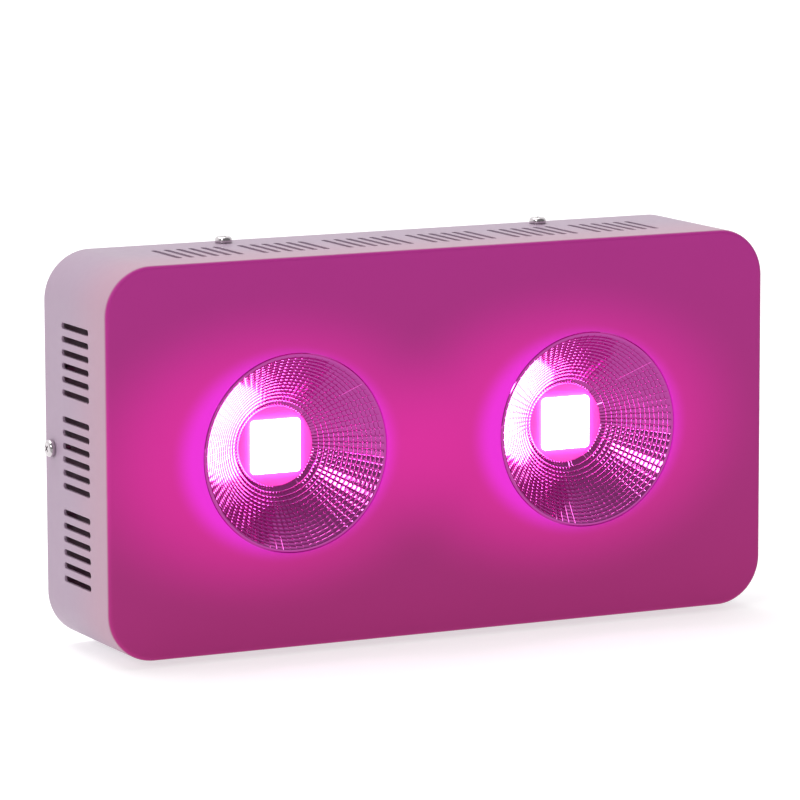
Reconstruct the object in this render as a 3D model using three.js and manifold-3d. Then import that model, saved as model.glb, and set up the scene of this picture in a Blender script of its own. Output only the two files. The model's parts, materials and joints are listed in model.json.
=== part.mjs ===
// LED grow light: a folded steel housing with two reflector lamps, each on a finned heatsink
// with its own fan, standing on its long side with the light towards -Y.
// Millimetres, +Z up. Pieces are drawn with the front face at y = 0, the middle of the width
// at x = 0 and the lower wall at z = 0; the last lines bring the whole to its own frame.
import * as THREE from "three";
import { mergeVertices } from "three/addons/utils/BufferGeometryUtils.js";
import Module from "manifold-3d";

const wasm = await Module();
wasm.setup();

// Housing
const width = 300;
const height = 160;
const depth = 64;
const sheet = 1.2;
const cornerRadius = 20;
const foldRadius = 1.8;
const gap = 0.3;
const room = 1;

// Vents: groups of slots along every wall
const ventPitch = 5.47;
const ventWidth = 2.6;
const ventLength = 28;
const ventsInGroup = 6;
const ventGroupPitch = 7 * ventPitch;

// Rear cover and its screws
const coverFlange = 11;
const coverScrewSpan = 146;
const coverScrewInset = 7;
const coverScrewRadius = 1.7;
const coverScrewHeadRadius = 3.6;
const coverScrewHeadHeight = 2.4;
const coverScrewReach = 8;

// Light engines: reflector, LED board, heatsink
const engineSpacing = 134;
const mouthRadius = 41;
const flangeWidth = 3;
const baseRadius = 16.5;
const reflectorDepth = 20.5;
const reflectorWall = 1;
const boardSize = 44;
const boardThickness = 2;
const boardScrewInset = 3.5;
const emitterSize = 22;
const emitterThickness = 0.9;
const emitterCorner = 1.6;
const sinkBase = 4;
const finCount = 11;
const finThickness = 1.4;
const postRadius = 2.5;
const postHeadRadius = 2.8;
const postHeadHeight = 1;
const smallScrewRadius = 1.5;
const smallScrewHeadRadius = 2.7;
const smallScrewHeadHeight = 1.8;

// Fans and guards
const fanSize = 80;
const fanThickness = 15;
const fanWall = 2;
const fanHubRadius = 15;
const fanHubPlate = 2;
const fanStrut = 4;
const bladeCount = 7;
const bladePitch = 42;
const bladeThickness = 1.4;
const bladeTipRoom = 1.4;
const shaftRadius = 1.5;
const fanScrewInset = 4.25;
const fanScrewRadius = 1.9;
const fanScrewHeadRadius = 3.4;
const fanScrewHeadHeight = 2;
const fanScrewReach = 10;
const guardWire = 0.8;
const guardRings = 4;
const guardInnerRadius = 12;
const guardEyeRadius = 4.2;

// LED drivers
const driverHeight = 62;
const driverDepth = 28;
const driverCorner = 2;

// Power inlet and switch, on the middle line of the rear cover
const inletOffset = 24;
const inletBody = { x: 27, z: 19.6, length: 17 };
const inletBezel = { x: 31, z: 24, thickness: 2.4 };
const inletRecess = { x: 24, z: 16, depth: 15 };
const inletPin = { x: 2, z: 4, length: 10, spacing: 7, offset: 2 };
const inletTab = { x: 4.8, z: 1.2, length: 5 };
const switchOffset = -24;
const switchBody = { x: 13, z: 19.4, length: 14 };
const switchBezel = { x: 15, z: 21.4, thickness: 1.8 };
const rockerSize = { x: 9.8, z: 15 };
const rockerTravel = 14;
const rockerDepth = 5;
const rockerPinRadius = 1.2;
const rockerPinLength = 0.7;

// Hanging eyes
const eyeSpan = 62;
const eyeInset = 8;
const eyeRadius = 5.4;
const eyeWire = 1.6;
const eyeNeck = 4;
const eyeCollarRadius = 4;
const eyeCollarHeight = 1.6;
const eyeShankRadius = 2;
const eyeShankReach = 6;
const nutRadius = 4;
const nutHeight = 3.2;

// Leads
const leadRadius = 1.3;
const leadSides = 6;

// Steps around full circles
const roundSteps = 40;
const middleSteps = 20;
const smallSteps = 8;

// Places that follow from the sizes above
const middle = height / 2;
const coverFront = depth - sheet;
const flangeRadius = mouthRadius + flangeWidth;
const boardFront = reflectorDepth + gap;
const sinkFront = boardFront + boardThickness + gap;
const postOffset = (flangeRadius + postRadius + room) * Math.SQRT1_2;
const sinkSize = 2 * (postOffset + postHeadRadius + room);
const finSpan = 2 * (postOffset - postHeadRadius - room);
const fanFront = coverFront - gap - fanThickness;
const finEnd = fanFront - gap;
const fanDuctRadius = fanSize / 2 - fanWall;
const fanHole = fanSize / 2 - fanScrewInset;
const driverWidth = engineSpacing - 2 * flangeRadius - 4 * room;
const driverFront = sheet + gap;

const paint = { color: 0xe9e6ea, roughness: 0.5, metalness: 0.0 };
const steel = { color: 0xc9c9cc, roughness: 0.3, metalness: 1.0 };
const mirror = { color: 0xe4e0e6, roughness: 0.08, metalness: 1.0 };
const aluminium = { color: 0xb4b6b9, roughness: 0.45, metalness: 1.0 };
const blackPlastic = { color: 0x18181a, roughness: 0.55, metalness: 0.0 };
const whiteBoard = { color: 0xf0eef0, roughness: 0.6, metalness: 0.0 };
const glowing = { color: 0xffffff, roughness: 0.4, emissive: 0xff70e8, emissiveIntensity: 2 };
const rubber = { color: 0x1c1c1e, roughness: 0.7, metalness: 0.0 };

const lamp = new THREE.Group();

// Helpers ---------------------------------------------------------------------------------

function add(name, shape, finish, parent = lamp) {
  const geometry = shape.isBufferGeometry ? shape : toGeometry(shape);
  const mesh = new THREE.Mesh(geometry, new THREE.MeshStandardMaterial(finish));
  mesh.name = name;
  parent.add(mesh);
  return mesh;
}

function toSolid(geometry) {
  const bare = geometry.clone();
  bare.deleteAttribute("normal");
  bare.deleteAttribute("uv");
  const merged = mergeVertices(bare, 1e-4);
  const corners = merged.index.array;
  const kept = [];
  for (let i = 0; i < corners.length; i += 3) {
    const [a, b, c] = [corners[i], corners[i + 1], corners[i + 2]];
    if (a !== b && b !== c && c !== a) kept.push(a, b, c);
  }
  const vertProperties = new Float32Array(merged.attributes.position.array);
  const triVerts = new Uint32Array(kept);
  return new wasm.Manifold(new wasm.Mesh({ numProp: 3, vertProperties, triVerts }));
}

function toGeometry(solid) {
  const mesh = solid.getMesh();
  const geometry = new THREE.BufferGeometry();
  geometry.setAttribute("position", new THREE.BufferAttribute(mesh.vertProperties, 3));
  geometry.setIndex(new THREE.BufferAttribute(mesh.triVerts, 1));
  return geometry;
}

function join(...geometries) {
  return wasm.Manifold.union(geometries.map(toSolid));
}

function cut(solid, cutters) {
  return solid.subtract(wasm.Manifold.union(cutters.map(toSolid)));
}

// A rectangle with round corners, centred on the origin.
function roundedRectangle(across, up, radius) {
  const [x, y] = [across / 2, up / 2];
  const shape = new THREE.Shape();
  shape.absarc(x - radius, y - radius, radius, 0, Math.PI / 2);
  shape.absarc(radius - x, y - radius, radius, Math.PI / 2, Math.PI);
  shape.absarc(radius - x, radius - y, radius, Math.PI, 1.5 * Math.PI);
  shape.absarc(x - radius, radius - y, radius, 1.5 * Math.PI, 2 * Math.PI);
  return shape;
}

// Extrudes an outline drawn in X and Z along Y.
function alongY(shape, from, to, curveSegments = 1) {
  const options = { depth: to - from, bevelEnabled: false, curveSegments };
  return new THREE.ExtrudeGeometry(shape, options).rotateX(Math.PI / 2).translate(0, to, 0);
}

// Extrudes an outline drawn in Y and Z along X, centred on x = 0.
function alongX(shape, length, curveSegments = 1) {
  const options = { depth: length, bevelEnabled: false, curveSegments };
  const turn = new THREE.Matrix4().makeBasis(
    new THREE.Vector3(0, 1, 0), new THREE.Vector3(0, 0, 1), new THREE.Vector3(1, 0, 0));
  const geometry = new THREE.ExtrudeGeometry(shape, options);
  return geometry.applyMatrix4(turn).translate(-length / 2, 0, 0);
}

// Extrudes an outline drawn in X and Y along Z, centred on z = 0.
function alongZ(shape, length, curveSegments = 1) {
  const options = { depth: length, bevelEnabled: false, curveSegments };
  return new THREE.ExtrudeGeometry(shape, options).translate(0, 0, -length / 2);
}

function rod(radius, from, to, steps = smallSteps) {
  const geometry = new THREE.CylinderGeometry(radius, radius, to - from, steps);
  return geometry.translate(0, (from + to) / 2, 0);
}

function block(x, y, z, from) {
  return new THREE.BoxGeometry(x, y, z).translate(0, from + y / 2, 0);
}

function turned(points, steps) {
  const profile = points.map(([radius, y]) => new THREE.Vector2(radius, y));
  return new THREE.LatheGeometry(profile, steps);
}

// A pan-head screw: head towards +Y above y = 0, shank below.
function screw(radius, headRadius, headHeight, reach) {
  return turned([
    [0, -reach],
    [radius * 0.6, -reach],
    [radius, -reach + radius],
    [radius, 0],
    [headRadius, 0],
    [headRadius, headHeight * 0.45],
    [headRadius * 0.72, headHeight * 0.9],
    [0, headHeight],
  ], smallSteps);
}

function corners(offset) {
  return [[-1, -1], [1, -1], [1, 1], [-1, 1]].map(([x, z]) => [x * offset, z * offset]);
}

// Housing ---------------------------------------------------------------------------------

function ventCentres(wallLength) {
  const groups = Math.floor((wallLength - 2 * cornerRadius) / ventGroupPitch);
  const centres = [];
  for (let group = 0; group < groups; group += 1) {
    const groupCentre = (group - (groups - 1) / 2) * ventGroupPitch;
    for (let slot = 0; slot < ventsInGroup; slot += 1) {
      centres.push(groupCentre + (slot - (ventsInGroup - 1) / 2) * ventPitch);
    }
  }
  return centres;
}

// A slot with round ends, its length in the outline's second direction.
function ventOutline() {
  const [radius, reach] = [ventWidth / 2, (ventLength - ventWidth) / 2];
  const shape = new THREE.Shape();
  shape.absarc(0, reach, radius, 0, Math.PI);
  shape.absarc(0, -reach, radius, Math.PI, 2 * Math.PI);
  return shape;
}

function ventCutters() {
  const upright = alongZ(ventOutline(), height * 2, 2);
  const level = upright.clone().rotateY(Math.PI / 2).scale(width / height, 1, 1);
  const place = (cutter, x, z) => cutter.clone().translate(x, depth / 2, middle + z);
  return [
    ...ventCentres(width).map((x) => place(upright, x, 0)),
    ...ventCentres(height).map((z) => place(level, 0, z)),
  ];
}

// Each cover screw: name, place on the wall, and the turn that points its head outwards.
function coverScrewPlaces() {
  const x = coverScrewSpan / 2;
  return [
    ["top_left", [-x, height], [Math.PI / 2, 0]],
    ["top_right", [x, height], [Math.PI / 2, 0]],
    ["bottom_left", [-x, 0], [-Math.PI / 2, 0]],
    ["bottom_right", [x, 0], [-Math.PI / 2, 0]],
    ["left", [-width / 2, middle], [0, Math.PI / 2]],
    ["right", [width / 2, middle], [0, -Math.PI / 2]],
  ];
}

function atCoverScrew(geometry, [x, z], [turnX, turnZ]) {
  const placed = geometry.clone().rotateX(turnX).rotateZ(turnZ);
  return placed.translate(x, depth - coverScrewInset, z);
}

function coverScrewHoles(radius) {
  const drill = rod(radius, -coverScrewReach, coverScrewReach);
  return coverScrewPlaces().map(([, place, turn]) => atCoverScrew(drill, place, turn));
}

function housingShell() {
  const outline = roundedRectangle(
    width - 2 * foldRadius, height - 2 * foldRadius, cornerRadius - foldRadius);
  const fold = new THREE.ExtrudeGeometry(outline, {
    depth, curveSegments: 5, bevelSegments: 2, bevelSize: foldRadius, bevelThickness: foldRadius,
  });
  fold.rotateX(Math.PI / 2).translate(0, depth + foldRadius, middle);
  const inside = roundedRectangle(width - 2 * sheet, height - 2 * sheet, cornerRadius - sheet);
  const cavity = alongY(inside, sheet, depth * 2, 5).translate(0, 0, middle);
  const rear = block(width * 2, depth, height * 2, depth).translate(0, 0, middle);
  const mouth = rod(mouthRadius, -depth, sheet * 2, roundSteps);
  const mouths = [-1, 1].map((side) => mouth.clone().translate(side * engineSpacing / 2, 0, middle));
  const cutters = [cavity, rear, ...mouths, ...ventCutters()];
  add("housing_shell", cut(toSolid(fold), [...cutters, ...coverScrewHoles(coverScrewRadius + gap)]), paint);
}

function rearCover() {
  const inset = 2 * (sheet + gap);
  const radius = cornerRadius - sheet - gap;
  const outer = roundedRectangle(width - inset, height - inset, radius);
  const inner = roundedRectangle(width - inset - 2 * sheet, height - inset - 2 * sheet, radius - sheet);
  const tray = alongY(outer, depth - coverFlange, depth, 5).translate(0, 0, middle);
  const pocket = alongY(inner, 0, coverFront, 5).translate(0, 0, middle);
  const opening = rod(fanDuctRadius, 0, depth * 2, roundSteps);
  const drill = rod(fanScrewRadius + gap, 0, depth * 2);
  const eyeDrill = rod(eyeShankRadius + gap, 0, depth * 2);
  const fanCuts = [-1, 1].flatMap((side) => [opening, ...corners(fanHole).map(
    ([x, z]) => drill.clone().translate(x, 0, z))].map(
    (cutter) => cutter.clone().translate(side * engineSpacing / 2, 0, middle)));
  const window = (body, offset) => new THREE.BoxGeometry(body.x + 2 * gap, depth, body.z + 2 * gap)
    .translate(0, depth, middle + offset);
  const cuts = [
    pocket,
    ...fanCuts,
    ...eyePlaces().map(([, x, z]) => eyeDrill.clone().translate(x, 0, z)),
    window(inletBody, inletOffset),
    window(switchBody, switchOffset),
    ...coverScrewHoles(coverScrewRadius + gap),
  ];
  add("rear_cover", cut(toSolid(tray), cuts), paint);
}

function coverScrews() {
  const piece = screw(coverScrewRadius, coverScrewHeadRadius, coverScrewHeadHeight, coverScrewReach);
  piece.translate(0, gap, 0);
  for (const [name, place, turn] of coverScrewPlaces()) {
    add(`cover_screw_${name}`, atCoverScrew(piece, place, turn), steel);
  }
}

// Light engines ---------------------------------------------------------------------------

// The bowl swells a little outwards between its base ring and its mouth.
function bowlRadius(y) {
  const share = 1 - y / reflectorDepth;
  return baseRadius + (mouthRadius - gap - reflectorWall - baseRadius) * Math.pow(share, 0.86);
}

function reflector() {
  const levels = [0, 0.25, 0.5, 0.75, 1].map((share) => share * reflectorDepth);
  const inside = levels.map((y) => [bowlRadius(y), y]);
  const outside = levels.slice(1).reverse().map((y) => [bowlRadius(y) + reflectorWall, y]);
  const lip = mouthRadius - gap;
  const back = sheet + gap;
  const rim = [
    [lip, back + reflectorWall],
    [flangeRadius, back + reflectorWall],
    [flangeRadius, back],
    [lip, back],
    [lip, 0],
    inside[0],
  ];
  return turned([...inside, ...outside, ...rim].reverse(), roundSteps);
}

function ledBoard() {
  const plate = block(boardSize, boardThickness, boardSize, boardFront);
  const drill = rod(smallScrewRadius + gap, 0, depth);
  return cut(toSolid(plate), boardScrewPlaces().map(([x, z]) => drill.clone().translate(x, 0, z)));
}

// The other two corners of the board carry the solder pads.
function boardScrewPlaces() {
  const offset = boardSize / 2 - boardScrewInset;
  return [[-offset, offset], [offset, -offset]];
}

function heatsink() {
  const [half, finHalf] = [sinkSize / 2, finSpan / 2];
  const finFoot = sinkFront + sinkBase;
  const outline = new THREE.Shape();
  outline.moveTo(-half, sinkFront);
  outline.lineTo(half, sinkFront);
  outline.lineTo(half, finFoot);
  for (let fin = finCount - 1; fin >= 0; fin -= 1) {
    const left = -finHalf + fin * (finSpan - finThickness) / (finCount - 1);
    outline.lineTo(left + finThickness, finFoot);
    outline.lineTo(left + finThickness, finEnd);
    outline.lineTo(left, finEnd);
    outline.lineTo(left, finFoot);
  }
  outline.lineTo(-half, finFoot);
  const fins = alongZ(outline, sinkSize);
  const shade = block(sinkSize, depth, (sinkSize - finSpan) / 2, finFoot);
  const shift = (sinkSize + finSpan) / 4;
  const postDrill = rod(postRadius * 0.6 + gap, 0, finFoot + gap);
  const screwDrill = rod(smallScrewRadius + gap, 0, finFoot - room);
  return cut(toSolid(fins), [
    shade.clone().translate(0, 0, shift),
    shade.clone().translate(0, 0, -shift),
    ...corners(postOffset).map(([x, z]) => postDrill.clone().translate(x, 0, z)),
    ...boardScrewPlaces().map(([x, z]) => screwDrill.clone().translate(x, 0, z)),
  ]);
}

// A post welded inside the front panel, with its far end riveted over the heatsink.
function post() {
  const neck = sinkFront + sinkBase + gap;
  return turned([
    [0, sheet + gap],
    [postRadius, sheet + gap],
    [postRadius, sinkFront - gap],
    [postRadius * 0.6, sinkFront - gap],
    [postRadius * 0.6, neck],
    [postHeadRadius, neck],
    [postHeadRadius * 0.6, neck + postHeadHeight],
    [0, neck + postHeadHeight],
  ], smallSteps);
}

function fanFrame() {
  const outline = roundedRectangle(fanSize, fanSize, fanScrewInset);
  const body = alongY(outline, fanFront, fanFront + fanThickness, 2);
  const duct = rod(fanDuctRadius, 0, depth * 2, roundSteps);
  const drill = rod(fanScrewRadius + gap, 0, depth * 2);
  const ring = cut(toSolid(body), [
    duct, ...corners(fanHole).map(([x, z]) => drill.clone().translate(x, 0, z))]);
  const plateFront = fanFront + fanThickness - fanHubPlate;
  const strut = block(fanSize - 2 * fanWall, fanHubPlate, fanStrut, plateFront);
  const struts = [45, 135].map((angle) => strut.clone().rotateY(THREE.MathUtils.degToRad(angle)));
  const hub = rod(fanHubRadius, plateFront, plateFront + fanHubPlate, middleSteps);
  const spider = join(hub, ...struts.map((one) => one.scale(1.02, 1, 1)));
  return ring.add(spider).subtract(toSolid(rod(shaftRadius + gap, 0, depth * 2)));
}

function fanRotor() {
  const front = fanFront + room;
  const back = fanFront + fanThickness - fanHubPlate - gap;
  const hub = rod(fanHubRadius - room, front, back, middleSteps);
  const shaft = rod(shaftRadius, back - room, back + gap + fanHubPlate);
  const reach = fanDuctRadius - bladeTipRoom - fanHubRadius / 2;
  const chord = (back - front - 2 * room) / Math.sin(THREE.MathUtils.degToRad(bladePitch));
  const blade = new THREE.BoxGeometry(reach, chord, bladeThickness);
  blade.rotateX(THREE.MathUtils.degToRad(90 - bladePitch));
  blade.translate(fanHubRadius / 2 + reach / 2, (front + back) / 2, 0);
  const blades = [];
  for (let i = 0; i < bladeCount; i += 1) {
    blades.push(blade.clone().rotateY(2 * Math.PI * i / bladeCount));
  }
  return join(hub, shaft, ...blades);
}

function fanGuard() {
  const level = depth + gap + guardWire;
  const outer = fanDuctRadius - guardWire;
  const pieces = [];
  for (let i = 0; i < guardRings; i += 1) {
    const radius = guardInnerRadius + (outer - guardInnerRadius) * i / (guardRings - 1);
    const ring = new THREE.TorusGeometry(radius, guardWire, 4, 12 + 4 * i);
    pieces.push(ring.rotateX(Math.PI / 2).translate(0, level, 0));
  }
  const eyes = [];
  for (const [x, z] of corners(fanHole)) {
    const eye = rod(guardEyeRadius, level - guardWire, level + guardWire);
    pieces.push(eye.translate(x, 0, z));
    const reach = Math.hypot(x, z) - guardInnerRadius;
    const arm = new THREE.BoxGeometry(reach, guardWire * 1.6, guardWire * 2);
    arm.translate(guardInnerRadius + reach / 2, level, 0).rotateY(-Math.atan2(z, x));
    pieces.push(arm);
    eyes.push(rod(fanScrewRadius + gap, 0, depth * 2).translate(x, 0, z));
  }
  return cut(join(...pieces), eyes);
}

function lightEngine(side, place) {
  const engine = new THREE.Group();
  engine.position.set(place, 0, middle);
  lamp.add(engine);
  const emitterPlate = roundedRectangle(emitterSize, emitterSize, emitterCorner);
  const emitterBack = boardFront - gap;
  add(`reflector_${side}`, reflector(), mirror, engine);
  add(`led_board_${side}`, ledBoard(), whiteBoard, engine);
  add(`led_emitter_${side}`, alongY(emitterPlate, emitterBack - emitterThickness, emitterBack, 2),
    glowing, engine);
  add(`heatsink_${side}`, heatsink(), aluminium, engine);
  add(`fan_frame_${side}`, fanFrame(), blackPlastic, engine);
  add(`fan_rotor_${side}`, fanRotor(), blackPlastic, engine);
  add(`fan_guard_${side}`, fanGuard(), steel, engine);
  boardScrewPlaces().forEach(([x, z], i) => {
    const piece = screw(smallScrewRadius, smallScrewHeadRadius, smallScrewHeadHeight, 5);
    piece.rotateX(Math.PI).translate(x, boardFront - gap, z);
    add(`led_screw_${side}_${i + 1}`, piece, steel, engine);
  });
  corners(postOffset).forEach(([x, z], i) => {
    add(`heatsink_post_${side}_${i + 1}`, post().translate(x, 0, z), steel, engine);
  });
  corners(fanHole).forEach(([x, z], i) => {
    const piece = screw(fanScrewRadius, fanScrewHeadRadius, fanScrewHeadHeight, fanScrewReach);
    piece.translate(x, depth + 2 * (gap + guardWire), z);
    add(`fan_screw_${side}_${i + 1}`, piece, steel, engine);
  });
}

// Power -----------------------------------------------------------------------------------

function driver() {
  const outline = roundedRectangle(driverWidth, driverHeight, driverCorner);
  return alongY(outline, driverFront, driverFront + driverDepth);
}

function powerInlet() {
  const { x, z, length } = inletBody;
  const seat = depth + gap;
  const body = block(x, length, z, seat - length);
  const bezel = alongY(roundedRectangle(inletBezel.x, inletBezel.z, 3),
    seat, seat + inletBezel.thickness);
  const face = seat + inletBezel.thickness;
  const floor = face - inletRecess.depth;
  const recess = block(inletRecess.x, inletRecess.depth * 2, inletRecess.z, floor);
  const housing = join(body, bezel).subtract(toSolid(recess));
  const metal = [-1, 0, 1].flatMap((slot) => {
    const across = slot * inletPin.spacing;
    const rise = slot === 0 ? inletPin.offset : -inletPin.offset;
    const pin = block(inletPin.x, inletPin.length + room, inletPin.z, floor - room);
    const tab = block(inletTab.x, inletTab.length + room, inletTab.z, seat - length - inletTab.length);
    return [pin.translate(across, 0, rise), tab.translate(across, 0, rise)];
  });
  return housing.add(join(...metal));
}

function switchHousing() {
  const { x, z, length } = switchBody;
  const seat = depth + gap;
  const body = block(x, length, z, seat - length);
  const bezel = alongY(roundedRectangle(switchBezel.x, switchBezel.z, 1.5),
    seat, seat + switchBezel.thickness);
  const pocketDepth = switchBezel.thickness + rockerDepth + 3 * room;
  const pocket = block(rockerSize.x + 2 * gap, pocketDepth * 2, rockerSize.z + 2 * room,
    seat + switchBezel.thickness - pocketDepth);
  const bore = new THREE.CylinderGeometry(rockerPinRadius + gap, rockerPinRadius + gap,
    rockerSize.x + 2 * (rockerPinLength + gap), smallSteps);
  bore.rotateZ(Math.PI / 2).translate(0, rockerPivot(), 0);
  const tabs = [-1, 1].map((side) => block(inletTab.x, inletTab.length + room, inletTab.z,
    seat - length - inletTab.length).translate(0, 0, side * z / 4));
  return cut(join(body, bezel, ...tabs), [pocket, bore]);
}

function rockerPivot() {
  return depth + gap + switchBezel.thickness - room - rockerDepth / 2;
}

// A shallow V seen from the side; at rest its upper end is pressed in.
function rocker() {
  const half = rockerSize.z / 2;
  const [out, dip] = [rockerDepth / 2 + room, rockerDepth / 2 - room / 2];
  const outline = new THREE.Shape();
  outline.moveTo(dip, 0);
  outline.lineTo(out, half);
  outline.lineTo(0, half - room);
  outline.lineTo(-rockerDepth / 2, half / 3);
  outline.lineTo(-rockerDepth / 2, -half / 3);
  outline.lineTo(0, room - half);
  outline.lineTo(out, -half);
  const button = alongX(outline, rockerSize.x);
  const pins = new THREE.CylinderGeometry(rockerPinRadius, rockerPinRadius,
    rockerSize.x + 2 * rockerPinLength, smallSteps);
  const piece = toGeometry(join(button, pins.rotateZ(Math.PI / 2)));
  return piece.rotateX(THREE.MathUtils.degToRad(rockerTravel / 2));
}

function power() {
  const rise = driverHeight / 2 + 2 * room;
  add("led_driver_upper", driver().translate(0, 0, middle + rise), aluminium);
  add("led_driver_lower", driver().translate(0, 0, middle - rise), aluminium);
  add("power_inlet", powerInlet(), blackPlastic).position.z = middle + inletOffset;
  add("switch_body", switchHousing(), blackPlastic).position.z = middle + switchOffset;
  const button = add("switch_rocker", rocker(), blackPlastic);
  button.position.set(0, rockerPivot(), middle + switchOffset);
}

// Hanging eyes ----------------------------------------------------------------------------

function eyePlaces() {
  const [x, z] = [width / 2 - eyeInset, eyeSpan / 2];
  return [
    ["upper_left", -x, middle + z],
    ["upper_right", x, middle + z],
    ["lower_left", -x, middle - z],
    ["lower_right", x, middle - z],
  ];
}

function hangingEyes() {
  const seat = depth + gap;
  const centre = seat + eyeNeck + eyeRadius;
  const ring = new THREE.TorusGeometry(eyeRadius, eyeWire, 6, smallSteps * 2);
  ring.rotateY(Math.PI / 2).translate(0, centre, 0);
  const collar = rod(eyeCollarRadius, seat, seat + eyeCollarHeight);
  const stem = rod(eyeShankRadius, seat - eyeShankReach - sheet, seat + eyeNeck + eyeWire / 2);
  const eye = toGeometry(join(ring, collar, stem));
  const across = new THREE.CylinderGeometry(nutRadius, nutRadius, nutHeight, 6);
  const bore = rod(eyeShankRadius + gap, -depth, depth);
  const nut = toGeometry(cut(toSolid(across), [bore]));
  nut.translate(0, coverFront - gap - nutHeight / 2, 0);
  for (const [name, x, z] of eyePlaces()) {
    add(`hanging_eye_${name}`, eye, steel).position.set(x, 0, z);
    add(`eye_nut_${name}`, nut, steel).position.set(x, 0, z);
  }
}

// Leads -----------------------------------------------------------------------------------

// Points are [x, y, height above the middle of the housing].
function lead(name, points) {
  const route = new THREE.CatmullRomCurve3(
    points.map(([x, y, z]) => new THREE.Vector3(x, y, middle + z)));
  const section = new THREE.Shape();
  for (let i = 0; i < leadSides; i += 1) {
    const angle = 2 * Math.PI * i / leadSides;
    const [x, y] = [leadRadius * Math.cos(angle), leadRadius * Math.sin(angle)];
    if (i === 0) section.moveTo(x, y);
    else section.lineTo(x, y);
  }
  const steps = Math.round(route.getLength() / (3 * leadRadius));
  add(name, new THREE.ExtrudeGeometry(section, { steps, extrudePath: route }), rubber);
}

function leads() {
  const overBoard = [[-21.6, -4.3, 48], [-33, -4.3, 49], [-44, -3.3, 41], [-48, -2.3, 29], [-48.6, -1.7, 20]];
  const engineLead = overBoard.map(([x, y, z]) => [x, boardFront + y, z]);
  lead("led_lead_left", engineLead);
  lead("led_lead_right", engineLead.map(([x, y, z]) => [-x, y, -z]));
  lead("inlet_lead", [[0, 40, 20], [0, 36, 12], [0, 35, 0], [0, 37, -12], [0, 43.5, -18]]);
  lead("feed_lead_lower", [[-3.6, 43.5, -30], [-5, 38, -34], [-6, 34, -40], [-6, 31.5, -46]]);
  lead("feed_lead_upper", [[4, 43.5, -30], [8, 38, -27], [12, 35, -10], [12, 33, 12], [12, 31.5, 30]]);
}

housingShell();
rearCover();
coverScrews();
lightEngine("left", -engineSpacing / 2);
lightEngine("right", engineSpacing / 2);
power();
hangingEyes();
leads();

// The origin is the middle of the bottom of the whole part's box.
lamp.updateMatrixWorld(true);
const box = new THREE.Box3().setFromObject(lamp, true);
const centre = box.getCenter(new THREE.Vector3());
lamp.position.set(-centre.x, -centre.y, -box.min.z);

export default lamp;
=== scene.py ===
"""Visual model of a two-engine LED grow light, built around its CAD frame."""
import functools
import json
import math

import bmesh
import bpy
from mathutils import Euler, Matrix, Vector


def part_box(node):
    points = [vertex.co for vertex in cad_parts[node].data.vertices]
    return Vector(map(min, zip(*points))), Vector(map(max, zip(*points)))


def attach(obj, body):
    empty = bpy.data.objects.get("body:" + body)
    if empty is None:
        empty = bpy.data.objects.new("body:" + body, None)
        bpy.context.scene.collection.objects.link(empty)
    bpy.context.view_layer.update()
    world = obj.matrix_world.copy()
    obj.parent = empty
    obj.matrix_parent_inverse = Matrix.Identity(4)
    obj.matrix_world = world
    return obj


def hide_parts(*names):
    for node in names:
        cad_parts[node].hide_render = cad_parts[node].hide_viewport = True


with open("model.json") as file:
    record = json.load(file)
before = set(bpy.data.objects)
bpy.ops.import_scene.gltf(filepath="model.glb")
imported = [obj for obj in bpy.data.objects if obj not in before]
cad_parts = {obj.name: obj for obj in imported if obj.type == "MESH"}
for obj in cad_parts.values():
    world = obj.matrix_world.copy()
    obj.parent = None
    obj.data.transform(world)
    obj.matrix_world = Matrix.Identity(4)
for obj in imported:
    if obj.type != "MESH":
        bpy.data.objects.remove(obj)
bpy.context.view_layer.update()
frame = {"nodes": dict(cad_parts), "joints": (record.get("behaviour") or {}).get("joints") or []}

bl_info = {
    "name": "LED grow light",
    "version": (1, 0, 0),
    "blender": (4, 5, 0),
    "location": "3D View > Sidebar > Grow Light",
    "description": "Builds the visual model of an LED grow light around its CAD frame",
    "category": "Object",
}

MM = 0.001
SIDES = ("left", "right")
EYES = ("upper_left", "upper_right", "lower_left", "lower_right")
COVER_SCREWS = ("top_left", "top_right", "bottom_left", "bottom_right", "left", "right")

box = functools.cache(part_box)
SHELL_LOW, SHELL_HIGH = box("housing_shell")
FRONT = SHELL_LOW[1]
BACK = SHELL_HIGH[1]
GAP = 0.3 * MM
SEAT = BACK + GAP

# Radii of drilled holes
SCREW_HOLE = 2.0 * MM
GUARD_HOLE = 2.2 * MM
EYE_HOLE = 2.3 * MM

# Width, depth and height of bought pieces and their parts
INLET_BODY = (27 * MM, 17 * MM, 19.6 * MM)
INLET_RECESS = (24 * MM, 15 * MM, 16 * MM)
INLET_PIN = (2 * MM, 10 * MM, 4 * MM)
PIN_SPACING = 7 * MM
PIN_OFFSET = 2 * MM
TAB = (4.8 * MM, 5 * MM, 1.2 * MM)
SWITCH_BODY = (13 * MM, 14 * MM, 19.4 * MM)
SWITCH_POCKET = (10.4 * MM, 19.6 * MM, 17 * MM)
WINDOW_ROOM = 0.6 * MM
ROCKER = (9.8 * MM, 7 * MM, 15 * MM)
ROCKER_REST = 7
EYE_WIRE = 1.6 * MM
EYE_RING = 5.4 * MM
EYE_COLLAR = (4 * MM, 1.6 * MM)
EYE_SHANK = 2 * MM

# Inset and rise of each step of a reflector facet's swelling
FACET_STEPS = ((0.25 * MM, 0.12 * MM), (0.25 * MM, 0.07 * MM), (0.25 * MM, 0.03 * MM))

CAMERA_PLACE = (-0.919, FRONT - 1.833, SHELL_LOW[2] + 0.412)
CAMERA_YAW, CAMERA_PITCH, CAMERA_ROLL = 26.12, 8.73, -0.17
CAMERA_LENS = 227.7


def middle(node):
    """The middle of a CAD node's box."""
    low, high = box(node)
    return Vector([(a + b) / 2 for a, b in zip(low, high)])


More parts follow.
